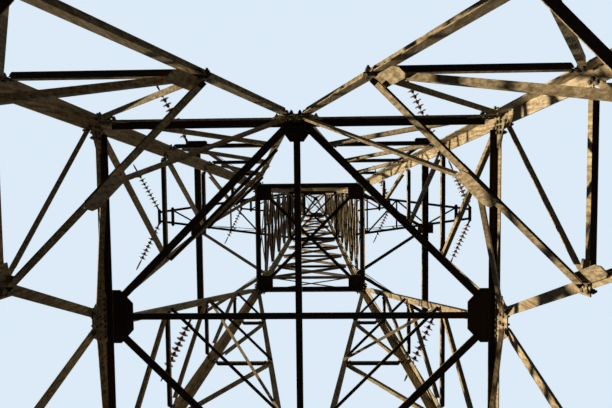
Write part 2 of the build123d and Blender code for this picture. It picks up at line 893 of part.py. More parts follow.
low_tip_level = waist_level + low_arm_rise
low_pin_x = low_arm_reach + (low_arm_plate - yoke_width) / 2
long_pin_y = arm_tip_half + yoke_overhang - yoke_width / 2
arms = {
    "low": (low_arm(), low_pin_x, low_arm_tip_half, low_tip_level),
    "middle": (
        long_arm(middle_arm_level, middle_arm_top_level, middle_arm_reach, 4),
        middle_arm_reach,
        long_pin_y,
        middle_arm_level,
    ),
    "top": (
        long_arm(top_arm_level, cage_level, top_arm_reach, 3),
        top_arm_reach,
        long_pin_y,
        top_arm_level,
    ),
}
for name, (arm, pin_x, pin_y, level) in arms.items():
    nodes["arm_" + name + "_left"] = arm
    nodes["arm_" + name + "_right"] = arm.mirror(Plane.YZ)
    nodes["strings_" + name + "_left"] = string_pair(-pin_x, pin_y, level)
    nodes["strings_" + name + "_right"] = string_pair(pin_x, pin_y, level)

os.makedirs("parts", exist_ok=True)
for name, shape in nodes.items():
    export_step(shape, "parts/" + name + ".step")
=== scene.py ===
# %% [markdown]
# A lattice tower is a skeleton of steel angles: four leaning legs, flat sides braced in
# triangles, three pairs of crossarms, and tension strings of insulators. The solids give each
# bar its place and size. This lesson dresses them: weathered steel, the standing flanges and
# bolts of the light bars, the light ties inside the waist, and glazed insulator discs.

import json
import math

import bmesh
import bpy
from mathutils import Matrix, Vector


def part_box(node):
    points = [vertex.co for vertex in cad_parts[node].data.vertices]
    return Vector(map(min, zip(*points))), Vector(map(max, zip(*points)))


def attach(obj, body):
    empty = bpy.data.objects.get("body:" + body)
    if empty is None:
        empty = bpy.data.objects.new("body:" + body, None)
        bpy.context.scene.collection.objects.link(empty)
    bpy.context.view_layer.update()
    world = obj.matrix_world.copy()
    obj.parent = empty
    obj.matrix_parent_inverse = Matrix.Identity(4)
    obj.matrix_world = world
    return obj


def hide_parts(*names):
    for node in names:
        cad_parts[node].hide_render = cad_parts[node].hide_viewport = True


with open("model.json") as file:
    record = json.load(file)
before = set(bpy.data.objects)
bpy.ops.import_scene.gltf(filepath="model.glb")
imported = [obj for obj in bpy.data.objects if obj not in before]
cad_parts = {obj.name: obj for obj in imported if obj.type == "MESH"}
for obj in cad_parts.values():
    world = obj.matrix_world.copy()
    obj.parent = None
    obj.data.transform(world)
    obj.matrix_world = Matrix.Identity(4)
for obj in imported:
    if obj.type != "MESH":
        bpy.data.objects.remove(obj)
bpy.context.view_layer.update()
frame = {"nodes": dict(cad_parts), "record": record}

# %% [markdown]
# The view is from inside the base, almost straight up, so the legs run together towards one
# point near the middle of the picture. Placing the camera by that point is simpler than by
# angles: two small slopes say how far the view leans from the vertical, and a small turn
# squares it to the sides. The lens is a moderate wide angle.

# %% Camera
picture_size = (612, 408)
zenith_pixel = (319.3, 176.3)
focal_pixels = 506
eye = Vector((0.213, -1.384, 1.398))
plan_turn = math.radians(0.65)
sensor_width = 36.0


def aim_camera():
    """A camera at the eye, leaning so that straight up lands on its own pixel."""
    lean_x = (picture_size[0] / 2 - zenith_pixel[0]) / focal_pixels
    lean_y = (picture_size[1] / 2 - zenith_pixel[1]) / focal_pixels
    forward = Vector((lean_x, lean_y, 1)).normalized()
    towards_front = Vector((math.sin(plan_turn), -math.cos(plan_turn), 0))
    right = forward.cross(towards_front).normalized()
    up = right.cross(forward)
    data = bpy.data.cameras.new("camera")
    data.sensor_width = sensor_width
    data.lens = sensor_width * focal_pixels / picture_size[0]
    data.clip_start = 0.05
    data.clip_end = 2000
    camera = bpy.data.objects.new("camera", data)
    turn = Matrix((right, up, -forward)).transposed().to_4x4()
    camera.matrix_world = Matrix.Translation(eye) @ turn
    bpy.context.collection.objects.link(camera)
    bpy.context.scene.camera = camera
    return camera


camera = aim_camera()
print("camera lens", round(camera.data.lens, 1), "mm")

# %% [markdown]
# Colours are written as the hex values that a picture shows. Shaders work in linear light,
# so one function turns each value over. One more function adds a shader node with its
# settings, its links and, on a colour ramp, its stops, which keeps a material as short as a
# recipe.


# %% Colours and nodes
def linear(hex_colour):
    """A hex colour as red, green, blue and alpha in linear light."""
    channels = [int(hex_colour[start:start + 2], 16) / 255 for start in (1, 3, 5)]
    curve = [c / 12.92 if c <= 0.04045 else ((c + 0.055) / 1.055) ** 2.4 for c in channels]
    return (*curve, 1.0)


def add(tree, kind, inputs=None, stops=(), **settings):
    """A node with its settings. An input is a value or the output that feeds it."""
    node = tree.nodes.new("ShaderNode" + kind)
    for key, value in settings.items():
        setattr(node, key, value)
    for key, value in (inputs or {}).items():
        if isinstance(value, bpy.types.NodeSocket):
            tree.links.new(value, node.inputs[key])
        else:
            node.inputs[key].default_value = value
    for number, (place, colour) in enumerate(stops):
        elements = node.color_ramp.elements
        element = elements[number] if number < 2 else elements.new(place)
        element.position = place
        element.color = linear(colour)
    return node


print("middle grey in linear light:", round(linear("#808080")[0], 3))

# %% [markdown]
# A new material comes with one all-round shader. A pattern on it is measured in real
# millimetres: a noise of scale 1 has blotches about a metre wide, so the scale is the number
# of blotches to the metre.


# %% Materials and patterns
def new_material(name):
    """A material, its node tree and its shader."""
    material = bpy.data.materials.new(name)
    material.use_nodes = True
    tree = material.node_tree
    return material, tree, tree.nodes["Principled BSDF"]


def pattern_scale(size_mm):
    """The scale of a noise whose blotches are about so many millimetres wide."""
    return 1000 / size_mm


print("scale of a pattern 40 mm wide:", pattern_scale(40))

# %% [markdown]
# The bars are hot-rolled structural steel, dipped in molten zinc when new. After decades
# outdoors the zinc has gone dull and tan with dust, rain has drawn dark streaks down the
# bars, and rust has come through in places. To the eye it is rough and almost matt, with no
# gleam of metal, so the shader is a plain rough surface whose dust takes most of the shine,
# also at a grazing angle. The undersides are darkened with a painted shade, near black, and
# the way a face points decides how much of it a face gets.
#
# Pictures of old steel could be wrapped round the bars, but they would need a layout for
# every bar. Noises placed in the tower's own space need none and run on from bar to bar:
# clouds wider than a hand, streaks that are long upwards and narrow sideways, a mottle,
# patches of rust, and a grain. The real grain is under a millimetre; it is drawn at several
# millimetres so that it shows from below.

# %% Dust, streaks and mottle
cloud_mm = 700
streak_mm = (22, 22, 1100)
mottle_mm = 38


def dusty_zinc(tree, place, dusty, washed):
    """Clouds between two colours of dusty zinc, under rain streaks and a mottle."""
    cloud = add(tree, "TexNoise", {"Vector": place, "Scale": pattern_scale(cloud_mm),
                                   "Detail": 4.0, "Roughness": 0.6})
    base = add(tree, "ValToRGB", {"Fac": cloud.outputs["Fac"]}, ((0.35, washed), (0.65, dusty)))
    stretch = [pattern_scale(size) for size in streak_mm]
    long_place = add(tree, "Mapping", {"Vector": place, "Scale": stretch}).outputs["Vector"]
    streak = add(tree, "TexNoise", {"Vector": long_place, "Scale": 1.0, "Detail": 3.0})
    streak_share = add(tree, "ValToRGB", {"Fac": streak.outputs["Fac"]},
                       ((0.40, "#ffffff"), (0.66, "#948a7c")))
    streaked = add(tree, "Mix", {"Factor": 0.75, "A": base.outputs["Color"],
                                 "B": streak_share.outputs["Color"]},
                   data_type="RGBA", blend_type="MULTIPLY")
    mottle = add(tree, "TexNoise", {"Vector": place, "Scale": pattern_scale(mottle_mm),
                                    "Detail": 4.0, "Roughness": 0.65})
    mottle_share = add(tree, "ValToRGB", {"Fac": mottle.outputs["Fac"]},
                       ((0.34, "#b7ad9f"), (0.58, "#ffffff")))
    mottled = add(tree, "Mix", {"Factor": 0.7, "A": streaked.outputs["Result"],
                                "B": mottle_share.outputs["Color"]},
                  data_type="RGBA", blend_type="MULTIPLY")
    return mottled.outputs["Result"]


print("clouds", cloud_mm, "mm, streaks", streak_mm[0], "by", streak_mm[2], "mm")

# %% [markdown]
# Rust comes through in patches with a soft edge, so a noise is cut off at a level that
# leaves the wanted share. The shade of the undersides is painted into the colour: the shader
# knows which way a face points, and darkens those that point down.

# %% Rust, and painted shade on the faces that point down
rust_mm = 120
rust_colour = "#74502f"
# The painted shade of the undersides, and the upward slopes of a face at which it is full and at
# which it ends.
painted_shade_colour = "#2e2620"
full_painted_shade_z = -0.97
no_painted_shade_z = -0.78


def rusted(tree, colour, rust, rust_share):
    """A colour under rust, which takes about the given share of the surface."""
    edge = 1 - rust_share
    mask = add(tree, "ValToRGB", {"Fac": rust.outputs["Fac"]},
               ((edge - 0.10, "#000000"), (edge + 0.12, "#8c8c8c")))
    mixed = add(tree, "Mix", {"Factor": mask.outputs["Color"], "A": colour,
                              "B": linear(rust_colour)}, data_type="RGBA")
    return mixed.outputs["Result"]


def painted_underside_shade(tree, colour):
    """A colour that turns to a painted shade on faces that point down."""
    facing = add(tree, "NewGeometry").outputs["Normal"]
    upward = add(tree, "SeparateXYZ", {"Vector": facing}).outputs["Z"]
    share = add(tree, "MapRange", {"Value": upward, "From Min": full_painted_shade_z,
                                   "From Max": no_painted_shade_z, "To Min": 1.0, "To Max": 0.0})
    mixed = add(tree, "Mix", {"Factor": share.outputs["Result"], "A": colour,
                              "B": linear(painted_shade_colour)}, data_type="RGBA")
    return mixed.outputs["Result"]


# What this prints as soot is the painted shade on faces that point down.
print("soot on faces tilted under", round(math.degrees(math.acos(-no_painted_shade_z))), "degrees")

# %% [markdown]
# One function joins all this to a finish. Rust is rougher than dusty zinc, so the noise that
# places the rust also drives the roughness, and the grain gives a shallow bump.

# %% Weathered steel
grain_mm = 8
pit_depth = 0.0005
dust_shine = 0.05


def weathered_steel(name, dusty, washed, rust_share, roughness):
    """Old zinc-coated steel in one finish, from its dusty colour and its rain-washed one."""
    material, tree, shader = new_material(name)
    place = add(tree, "TexCoord").outputs["Object"]
    rust = add(tree, "TexNoise", {"Vector": place, "Scale": pattern_scale(rust_mm),
                                  "Detail": 8.0, "Roughness": 0.72})
    worn = rusted(tree, dusty_zinc(tree, place, dusty, washed), rust, rust_share)
    grain = add(tree, "TexNoise", {"Vector": place, "Scale": pattern_scale(grain_mm),
                                   "Detail": 2.0, "Roughness": 0.7})
    grain_share = add(tree, "ValToRGB", {"Fac": grain.outputs["Fac"]},
                      ((0.35, "#b5ada2"), (0.65, "#ffffff")))
    grained = add(tree, "Mix", {"Factor": 0.6, "A": worn, "B": grain_share.outputs["Color"]},
                  data_type="RGBA", blend_type="MULTIPLY")
    dull = add(tree, "MapRange", {"Value": rust.outputs["Fac"], "From Min": 0.3,
                                  "From Max": 0.7, "To Min": roughness - 0.1,
                                  "To Max": roughness + 0.1})
    bump = add(tree, "Bump", {"Height": grain.outputs["Fac"], "Strength": 0.6,
                              "Distance": pit_depth})
    # The base colour gets the painted shade of the undersides here.
    tree.links.new(painted_underside_shade(tree, grained.outputs["Result"]), shader.inputs["Base Color"])
    tree.links.new(dull.outputs["Result"], shader.inputs["Roughness"])
    tree.links.new(bump.outputs["Normal"], shader.inputs["Normal"])
    shader.inputs["Specular IOR Level"].default_value = dust_shine
    return material


steel_legs = weathered_steel("weathered_galvanised_leg_steel", "#f0e6cb", "#cfc1a0", 0.34, 0.72)
steel_braces = weathered_steel("weathered_galvanised_brace_steel", "#e4d8bb", "#bdaf90", 0.36, 0.75)
steel_feet = weathered_steel("weathered_galvanised_foot_steel", "#9c8c72", "#7d6e58", 0.46, 0.80)
steel_fittings = weathered_steel("forged_galvanised_fitting_steel", "#a39a8a", "#80776a", 0.34, 0.6)
print("steels:", [m.name for m in (steel_legs, steel_braces, steel_feet, steel_fittings)])

# %% [markdown]
# The solids stay as they are and only take a finish, so the way to dress them is to go
# through them by name. Legs look a little paler, braces are duller, and the feet, splashed
# in every rain, are the darkest.

# %% Dress the solids
for name, node in frame["nodes"].items():
    finish = steel_braces
    if "_leg_" in name or name == "peak":
        finish = steel_legs
    elif name.startswith("foot_"):
        finish = steel_feet
    node.data.materials.clear()
    node.data.materials.append(finish)
print("dressed:", len(frame["nodes"]), "nodes")

# %% [markdown]
# The discs are wet-process porcelain, thrown and turned as clay and glazed brown, then
# fired until they are as hard and shiny as a dinner plate. Porcelain under glaze has an IOR
# of about 1.5, and a thin clear coat over the colour gives its hard, wet shine. Dust takes
# that off in patches, so one noise of palm-sized blotches drives both the colour and the
# roughness.

# %% Glazed porcelain
dust_mm = 60
glaze_ior = 1.5


def brown_glaze():
    """Brown glaze on porcelain, shiny where it is clean and duller under dust."""
    material, tree, shader = new_material("brown_glazed_porcelain")
    place = add(tree, "TexCoord").outputs["Object"]
    dust = add(tree, "TexNoise", {"Vector": place, "Scale": pattern_scale(dust_mm),
                                  "Detail": 4.0})
    colour = add(tree, "ValToRGB", {"Fac": dust.outputs["Fac"]},
                 ((0.35, "#7a3f16"), (0.55, "#91521f"), (0.75, "#9c7148")))
    shine = add(tree, "MapRange", {"Value": dust.outputs["Fac"], "From Min": 0.4,
                                   "From Max": 0.75, "To Min": 0.12, "To Max": 0.45})
    tree.links.new(colour.outputs["Color"], shader.inputs["Base Color"])
    tree.links.new(shine.outputs["Result"], shader.inputs["Roughness"])
    shader.inputs["IOR"].default_value = glaze_ior
    shader.inputs["Coat Weight"].default_value = 0.5
    shader.inputs["Coat Roughness"].default_value = 0.08
    return material


glaze = brown_glaze()
print("glaze:", glaze.name)

# %% [markdown]
# Small things such as bolts and discs come in hundreds. They could be objects of their own,
# but hundreds of objects are slow to handle. So each kind is one little mesh, kept as lists
# of corners and faces, and a piece is many copies of it put together. A profile turned about
# an axis gives most of them: with six steps it is a nut, with many a disc. An outline pushed
# straight through gives the rest: bars, plates and links.


# %% Mesh helpers
def turned(profile, steps):
    """Corners and faces of a profile of (distance, radius) turned about the X axis."""
    corners, faces = [], []
    for distance, radius in profile:
        for number in range(steps):
            angle = 2 * math.pi * number / steps
            corners.append(Vector((distance, radius * math.cos(angle), radius * math.sin(angle))))
    for row in range(len(profile) - 1):
        for number in range(steps):
            here = row * steps + number
            beside = row * steps + (number + 1) % steps
            faces.append((here, beside, beside + steps, here + steps))
    last = (len(profile) - 1) * steps
    faces.append(tuple(range(steps))[::-1])
    faces.append(tuple(range(last, last + steps)))
    return corners, faces


def prism(outline_points, push):
    """Corners and faces of a flat outline pushed along a vector."""
    count = len(outline_points)
    corners = list(outline_points) + [point + push for point in outline_points]
    faces = [tuple(range(count)), tuple(range(2 * count - 1, count - 1, -1))]
    faces += [(i, i + count, (i + 1) % count + count, (i + 1) % count) for i in range(count)]
    return corners, faces


def block(low, high):
    """Corners and faces of a box between two corners."""
    corners = [Vector((x, y, z)) for x in (low[0], high[0]) for y in (low[1], high[1])
               for z in (low[2], high[2])]
    faces = [(0, 1, 3, 2), (4, 6, 7, 5), (0, 4, 5, 1), (2, 3, 7, 6), (0, 2, 6, 4), (1, 5, 7, 3)]
    return corners, faces


def moved(shape, matrix):
    """A copy of a shape, carried to another place."""
    corners, faces = shape
    return [matrix @ corner for corner in corners], faces


def merged(shapes):
    """Many shapes as one, with the faces counted on."""
    corners, faces = [], []
    for more_corners, more_faces in shapes:
        start = len(corners)
        corners += more_corners
        faces += [tuple(start + index for index in face) for face in more_faces]
    return corners, faces


print("corners of a plain nut:", len(turned(((0, 1), (1, 1)), 6)[0]))

# %% [markdown]
# A piece becomes one object. Its shapes come in groups, one for each material, and the
# tower has a single body, so every piece rides on that. Faces have to look outwards, and it
# is simpler to let Blender turn them all at the end than to mind the order of the corners
# in every face.


# %% Make a piece
def make_piece(name, shapes, materials, smooth_degrees=None):
    """One object from shapes, a list for each material, riding on the tower."""
    mesh = bpy.data.meshes.new(name)
    groups = [merged(group) for group in shapes]
    corners, faces = merged(groups)
    mesh.from_pydata([tuple(corner) for corner in corners], [], faces)
    first = 0
    for number, group in enumerate(groups):
        for polygon in mesh.polygons[first:first + len(group[1])]:
            polygon.material_index = number
        first += len(group[1])
    for material in materials:
        mesh.materials.append(material)
    shell = bmesh.new()
    shell.from_mesh(mesh)
    bmesh.ops.recalc_face_normals(shell, faces=shell.faces)
    shell.to_mesh(mesh)
    shell.free()
    if smooth_degrees:
        mesh.shade_smooth()
        mesh.set_sharp_from_angle(angle=math.radians(smooth_degrees))
    piece = bpy.data.objects.new(name, mesh)
    bpy.context.collection.objects.link(piece)
    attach(piece, "root")
    return piece


# %% [markdown]
# Everything on a side of the tower is drawn flat: across, and up the slope. The frame gives
# the outline: its legs tell how wide the body is at three levels, and straight lines join
# them. Measured like this and not typed in, the outline follows the solids if they change.

# %% Outline of the body
foot_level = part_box("lower_leg_front_left")[0][2]
waist_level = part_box("upper_leg_front_left")[0][2]
cage_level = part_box("peak")[0][2]
foot_half = -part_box("lower_leg_front_left")[0][0]
waist_half = -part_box("upper_leg_front_left")[0][0]
cage_half = -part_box("peak")[0][0]
outline = ((foot_level, foot_half), (waist_level, waist_half), (cage_level, cage_half))


def half_width(level):
    """Half the width over the legs at a level."""
    for (low, low_half), (high, high_half) in zip(outline, outline[1:]):
        if level <= high:
            break
    return low_half + (high_half - low_half) * (level - low) / (high - low)


print("half widths:", [round(half, 3) for _, half in outline])

# %% [markdown]
# Every side leans, so a class holds its slope. It is asked for a place by the distance from
# the side's middle, the level, and the depth behind the outer face of the legs. Flanges and
# thicknesses of the legs are those of the solids.

# %% Places on a side
upper_leg_flange = 0.110
upper_leg_thick = 0.011
lower_leg_flange = 0.130
lower_leg_thick = 0.013
side_names = ("front", "right", "back", "left")


class Side:
    """One side of one stage: turn 0 is the front, and 1, 2, 3 follow round the tower."""

    def __init__(self, turn, low, high, leg_flange, leg_thick):
        self.leg_flange = leg_flange
        self.leg_thick = leg_thick
        self.spin = Matrix.Rotation(math.radians(90 * turn), 3, "Z")
        slope = Vector((0, half_width(low) - half_width(high), high - low)).normalized()
        self.out = self.spin @ Vector((0, -slope.z, slope.y))

    def point(self, x, level, depth=0.0):
        """A place at a depth behind the outer face of the legs."""
        heel = self.spin @ Vector((x, -half_width(level), level))
        return heel - self.out * depth

    def gauge(self, level):
        """How far the bolt line of a leg is from the middle of the side."""
        return half_width(level) - self.leg_flange / 2

    def edge(self, level, gap):
        """How far out a bar may go that stays a gap clear of the leg's free edge."""
        return half_width(level) - self.leg_flange - gap

    def trimmed(self, start, end, gap):
        """A bar of (x, level) ends, cut back to clear the legs' free edges."""
        ends = []
        for (x, level), (far_x, far_level) in ((start, end), (end, start)):
            reach = self.edge(level, gap)
            if abs(x) > reach:
                slant = (far_level - level) / (far_x - x)
                cut = math.copysign(reach, x)
                x, level = cut, level + slant * (cut - x)
            ends.append((x, level))
        return ends


lower_sides = [Side(turn, foot_level, waist_level, lower_leg_flange, lower_leg_thick)
               for turn in range(len(side_names))]
upper_sides = [Side(turn, waist_level, cage_level, upper_leg_flange, upper_leg_thick)
               for turn in range(len(side_names))]
print("middle of the front, 5 m up:", [round(v, 3) for v in lower_sides[0].point(0, 5)])

# %% [markdown]
# The light bars of the cage are angles too, while the solids have them flat. Their other
# flange, which stands out from the side on the lower edge, is what shows from below, as a
# dark line. Each is a thin block along the bar. It starts half a millimetre inside the flat
# bar and ends as much below its edge, so that no two faces fight for the same place.

# %% Standing flanges
brace_thick = 0.008
cage_brace_width = 0.060
flange_gap = 0.012
skin = 0.0005


def standing_flange(side, start, end, width):
    """A flange on the lower edge of a flat bar whose centre line runs from start to end."""
    ends = side.trimmed(start, end, flange_gap + width / 2)
    depth = side.leg_thick + brace_thick - skin
    first, last = [side.point(x, level, depth) for x, level in ends]
    along = (last - first).normalized()
    down = along.cross(side.out)
    down = down if down.z < 0 else -down
    turn = Matrix((along, down, side.out)).transposed().to_4x4()
    shape = block((0, width / 2 - brace_thick, 0), ((last - first).length, width / 2 + skin, width))
    return moved(shape, Matrix.Translation(first) @ turn)


print("standing flange:", cage_brace_width, "m wide")

# %% [markdown]
# The crossarms set the levels of the cage: a rung runs where each arm's lower and upper
# bars come in, and the height between two arms is shared out in equal crossed panels.

# %% Levels of the cage
low_arm_depth = 1.3
middle_arm_depth = 1.6
yoke_seat = 0.02
low_arm_top = waist_level + low_arm_depth
middle_arm_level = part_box("arm_middle_left")[0][2] + yoke_seat
middle_arm_top = middle_arm_level + middle_arm_depth
top_arm_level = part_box("arm_top_left")[0][2] + yoke_seat
panel_count = 3


def levels_between(low, high, count):
    """The levels that share out a height, with the upper end and without the lower one."""
    return [low + (high - low) * number / count for number in range(1, count + 1)]


cage_levels = ([waist_level, low_arm_top]
               + levels_between(low_arm_top, middle_arm_level, panel_count)
               + [middle_arm_top]
               + levels_between(middle_arm_top, top_arm_level, panel_count) + [cage_level])
print("cage levels:", [round(level, 2) for level in cage_levels])

# %% [markdown]
# Each panel has a rung under it and two diagonals that cross. The solids have them as flat
# bars, so only the lines are needed here, and a flange stands on each.

# %% Cage bars
waist_clearance = 0.004


def cage_bars(side):
    """The (start, end) lines of the rungs and the crossing diagonals of one side."""
    lines = [level - cage_brace_width / 2 for level in cage_levels]
    lines[0] = waist_level + cage_brace_width / 2 + waist_clearance
    bars = [((-side.gauge(level), level), (side.gauge(level), level)) for level in lines]
    for low, high in zip(lines, lines[1:]):
        for way in (-1, 1):
            bars.append(((way * side.gauge(low), low), (-way * side.gauge(high), high)))
    return bars


for side_name, side in zip(side_names, upper_sides):
    flanges = [standing_flange(side, start, end, cage_brace_width)
               for start, end in cage_bars(side)]
    make_piece("cage_flanges_" + side_name, [flanges], [steel_braces])
print("cage flanges:", 4 * len(flanges))

# %% [markdown]
# Hundreds of bolts hold the tower together. Each is a hexagon head on a washer on the inner
# face, and a nut with the end of its thread on the outer one. The thread itself is too fine
# to show, so a plain pin stands for it. They are set where a fitter puts them: two at each
# end of a bar, in line with it.

# %% A bolt
head_radius = 0.0173
head_height = 0.013
washer_radius = 0.021
washer_thick = 0.003
thread_radius = 0.010
thread_show = 0.012


def bolt(grip):
    """A bolt along X: its head ends at 0 and its nut starts at the grip."""
    chamfer = head_radius * 0.88
    head = turned(((-washer_thick - head_height, chamfer),
                   (-washer_thick - head_height * 0.8, head_radius),
                   (-washer_thick, head_radius)), 6)
    washer = turned(((-washer_thick, washer_radius), (0, washer_radius)), 12)
    far = grip + washer_thick
    far_washer = turned(((grip, washer_radius), (far, washer_radius)), 12)
    nut = turned(((far, head_radius), (far + head_height, head_radius),
                  (far + head_height * 1.2, chamfer)), 6)
    thread = turned(((far + head_height, thread_radius),
                     (far + head_height * 1.2 + thread_show, thread_radius * 0.9)), 8)
    return merged([head, washer, far_washer, nut, thread])


print("corners of a bolt:", len(bolt(0.02)[0]))

# %% [markdown]
# Bolts are drilled in rows: those of a bar follow its length from the end, and those of a
# gusset form a grid. Working them out from the bar's ends keeps them on it at any slope.

# %% Bolts in their places
end_distance = 0.035
bolt_pitch = 0.055


def bolt_at(place, axis, grip):
    """A bolt whose head lies against a face at a place, with its shank along an axis."""
    turn = axis.to_track_quat("X", "Z").to_matrix().to_4x4()
    return moved(bolt(grip), Matrix.Translation(place) @ turn)


def bar_bolts(side, start, end, inner_depth, count=2):
    """Bolts at both ends of a bar of the side, from its inner face to the leg's outer face."""
    shapes = []
    for (x, level), (far_x, far_level) in ((start, end), (end, start)):
        run = math.hypot(far_x - x, far_level - level)
        for number in range(count):
            share = (end_distance + number * bolt_pitch) / run
            place = side.point(x + (far_x - x) * share, level + (far_level - level) * share,
                               inner_depth)
            shapes.append(bolt_at(place, side.out, inner_depth))
    return shapes


def plate_bolts(side, centre, half_x, half_y, columns, rows, depth):
    """A grid of bolts on a gusset."""
    shapes = []
    for column in range(columns):
        for row in range(rows):
            x = centre[0] + half_x * (2 * column / max(columns - 1, 1) - 1)
            level = centre[1] + half_y * (2 * row / max(rows - 1, 1) - 1)
            shapes.append(bolt_at(side.point(x, level, depth), side.out, depth))
    return shapes


print("bolt heads", round(2000 * head_radius, 1), "mm over the corners")

# %% [markdown]
# Below the waist the bars are few and long. Two diagonals on each side meet under a level
# strut. Above the strut a narrow V opens towards the shoulders, and rungs and ties join both
# to the legs. The lines are worked out again here as the solids have them, because the bolts
# lie on them.

# %% Bracing of the base and the waist
gusset_thick = 0.010
strut_width = 0.075
strut_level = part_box("strut_diaphragm")[0][2]
shoulder_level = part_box("shoulder_diaphragm")[0][2]
brace_foot_level = 0.6
low_hip_level = 3.67
hip_level = 4.97
rung_levels = (strut_level, 7.88, 9.38, 11.0)
vee_foot_x = 0.075


def base_x(side, level):
    """How far a main diagonal is from the middle of its side."""
    return side.gauge(brace_foot_level) * (strut_level - level) / (strut_level - brace_foot_level)


def vee_x(side, level):
    """How far a bar of the V is from the middle of its side."""
    share = (level - strut_level) / (shoulder_level - strut_level)
    return vee_foot_x + (side.gauge(shoulder_level) - vee_foot_x) * share


def half_bars(side, way):
    """The bars of one half of a side below the waist, as (start, end) lines."""
    def on_leg(level):
        return (way * side.gauge(level), level)

    def on_base(level):
        return (way * base_x(side, level), level)

    def on_vee(level):
        return (way * vee_x(side, level), level)

    under_strut = strut_level - 2 * strut_width
    bars = [
        (on_base(under_strut), on_leg(brace_foot_level)),
        (on_base(hip_level), on_leg(hip_level)),
        (on_base(hip_level), on_leg(under_strut)),
        (on_base(low_hip_level), on_leg(hip_level)),
        (on_base(low_hip_level), on_leg(low_hip_level)),
        (on_vee(strut_level + strut_width), on_leg(shoulder_level - strut_width)),
    ]
    for below, level in zip(rung_levels, rung_levels[1:]):
        bars.append((on_vee(level), on_leg(level)))
        bars.append((on_leg(below), on_vee(level)))
    return bars


print("bars on a side below the waist:", 2 * len(half_bars(lower_sides[0], 1)))

# %% [markdown]
# Every bar gets its end bolts, and the gussets at the hips, on the legs and at the middle of
# the strut get grids. A grid is given by half its width and height, its columns and its
# rows, and those of the strut start with their height over it.

# %% Bolts below the waist
bar_depth = lower_leg_thick + brace_thick
plate_depth = bar_depth + gusset_thick
small_grid = (0.05, 0.03, 3, 2)
leg_gusset_inset = 0.06
strut_grids = ((-0.04, 0.19, 0.0, 8, 1), (0.13, 0.15, 0.04, 5, 2), (-0.15, 0.12, 0.03, 4, 2))

for side_name, side in zip(side_names, lower_sides):
    shapes = []
    for way in (-1, 1):
        for start, end in half_bars(side, way):
            shapes += bar_bolts(side, start, end, bar_depth)
        for level in (hip_level, low_hip_level):
            hip = (way * base_x(side, level), level)
            shapes += plate_bolts(side, hip, *small_grid, plate_depth)
        for level in (strut_level, shoulder_level):
            on_leg = (way * (side.gauge(level) - leg_gusset_inset), level - leg_gusset_inset)
            shapes += plate_bolts(side, on_leg, *small_grid, plate_depth)
    for rise, *grid in strut_grids:
        shapes += plate_bolts(side, (0, strut_level + rise), *grid, plate_depth)
    make_piece("bolts_" + side_name, [shapes], [steel_fittings])
print("bolts on a side:", len(shapes))

# %% [markdown]
# Behind the sides, light ties cross the corners of the waist: level ones at each rung, and
# one that climbs from the first rung of a side to the second rung of the next. They are the
# smallest angles of the tower. A level plate stiffens each corner at the shoulder. These
# bars run free in space, so each is built on its own direction: the outline of a rolled
# angle, drawn square to the bar and pushed along it.

# %% Bars and plates of any slope
tie_width = 0.045
tie_thick = 0.005


def angle_bar(start, end, toward, width, thick):
    """A rolled angle from start to end: one flange points to a direction, one stands up."""
    along = (end - start).normalized()
    level_way = (toward - along * toward.dot(along)).normalized()
    up = level_way.cross(along)
    up = up if up.z > 0 else -up
    profile = ((0, 0), (width, 0), (width, thick), (thick, thick), (thick, width), (0, width))
    return prism([start + level_way * a + up * b for a, b in profile], end - start)


def flat_bar(start, end, across, thick):
    """A flat bar from start to end, as wide as one vector and as thick as the other."""
    return prism([start, start + across, start + across + thick, start + thick], end - start)


def slab(corner, first, second, thick):
    """A plate with clipped corners on two edges from a corner, as thick as the third vector."""
    clip = 0.12
    rim = ((clip, 0), (1 - clip, 0), (1, clip * 2), (1, 1 - clip * 2), (1 - clip, 1), (clip, 1),
           (0, 1 - clip * 2), (0, clip * 2))
    return prism([corner + first * a + second * b for a, b in rim], thick)


sample = angle_bar(Vector((0, 0, 0)), Vector((1, 0, 0)), Vector((0, 1, 0)), tie_width, tie_thick)
print("corners of a tie:", len(sample[0]))

# %% [markdown]
# The ties lie just inside the bars they join, a small gap clear of the gussets, so the
# depth of those is counted first. The shoulder plate lies under the level bars in the same
# way.

# %% Ties and shoulder plates of a corner
plate_gap = 0.004
shoulder_plate = 0.34
shoulder_gap = 0.001


def waist_ties(this, other, inward):
    """The ties from one side to the one before it, at the three rungs of the waist."""
    depth = plate_depth + plate_gap
    here = [this.point(-vee_x(this, level), level, depth) for level in rung_levels[1:]]
    there = [other.point(vee_x(other, level), level, depth) for level in rung_levels[1:]]
    lines = list(zip(here, there)) + [(there[0], here[1])]
    return [angle_bar(start, end, inward, tie_width, tie_thick) for start, end in lines]


def shoulder_slab(inward):
    """The level plate in a corner of the shoulder."""
    reach = half_width(shoulder_level) - plate_depth - plate_gap
    heel = Vector((math.copysign(reach, -inward.x), math.copysign(reach, -inward.y),
                   shoulder_level - brace_thick - shoulder_gap))
    x_way = Vector((math.copysign(shoulder_plate, inward.x), 0, 0))
    y_way = Vector((0, math.copysign(shoulder_plate, inward.y), 0))
    return slab(heel, x_way, y_way, Vector((0, 0, -gusset_thick)))


print("ties", round(1000 * tie_width), "mm, shoulder plates", round(1000 * shoulder_plate), "mm")

# %% [markdown]
# At the hips, lower down, a plate joins each corner tie to its diagonal. It lies in the
# sloping plane of the tie and the diagonal, so that it catches the light on one hand of the
# tower and is dark on the other. The hip tie itself is a pair of bars: the solids hold the
# level one, and its fellow leans like the light ties that climb from it to the strut, and so
# does the plate that joins them.

# %% Plates and leaning tie of a hip
hip_plate_length = 0.34
hip_plate_width = 0.115
hip_plate_up = 0.06
hip_tie_width = 0.055
leaning_width = 0.066
leaning_thick = 0.006
leaning_end_gap = 0.05
leaning_gap = 0.002
leaning_plate = (0.33, 0.15, 0.008)
plate_seat = (0.115, 0.012)
strut_node_x = 0.085


def corner_points(this, other, x, level):
    """The two places of a corner at one level: on this side and on the one before it."""
    return this.point(-x, level, plate_depth), other.point(x, level, plate_depth)


